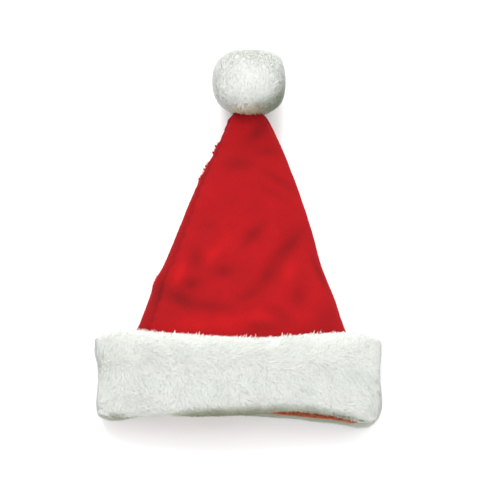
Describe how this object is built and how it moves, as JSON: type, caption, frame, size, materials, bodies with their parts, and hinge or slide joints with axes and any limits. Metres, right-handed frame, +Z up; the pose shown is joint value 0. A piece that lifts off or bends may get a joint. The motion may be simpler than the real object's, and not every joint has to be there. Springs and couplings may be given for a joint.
{
  "type": "santa hat",
  "caption": "Soft plush cone hat with a deep white fur cuff and a fur pompom, lying on its back with its mouth open for a head.",
  "frame": {"origin": "on the surface that the hat lies on, below the middle of its box", "axes": "+Y from the mouth to the pompom, +Z up from the surface, +X to the right seen from the mouth"},
  "size_m": [0.3024, 0.4022, 0.0724],
  "materials": {
    "red_plush": "soft short-pile red plush with an orange-red knitted reverse",
    "white_fur": "deep off-white fur pile",
    "pompom_fur": "dense off-white fur pile gathered into a ball"
  },
  "bodies": {
    "root": {"crown": "red_plush", "cuff": "white_fur", "pompom": "pompom_fur"}
  },
  "joints": []
}
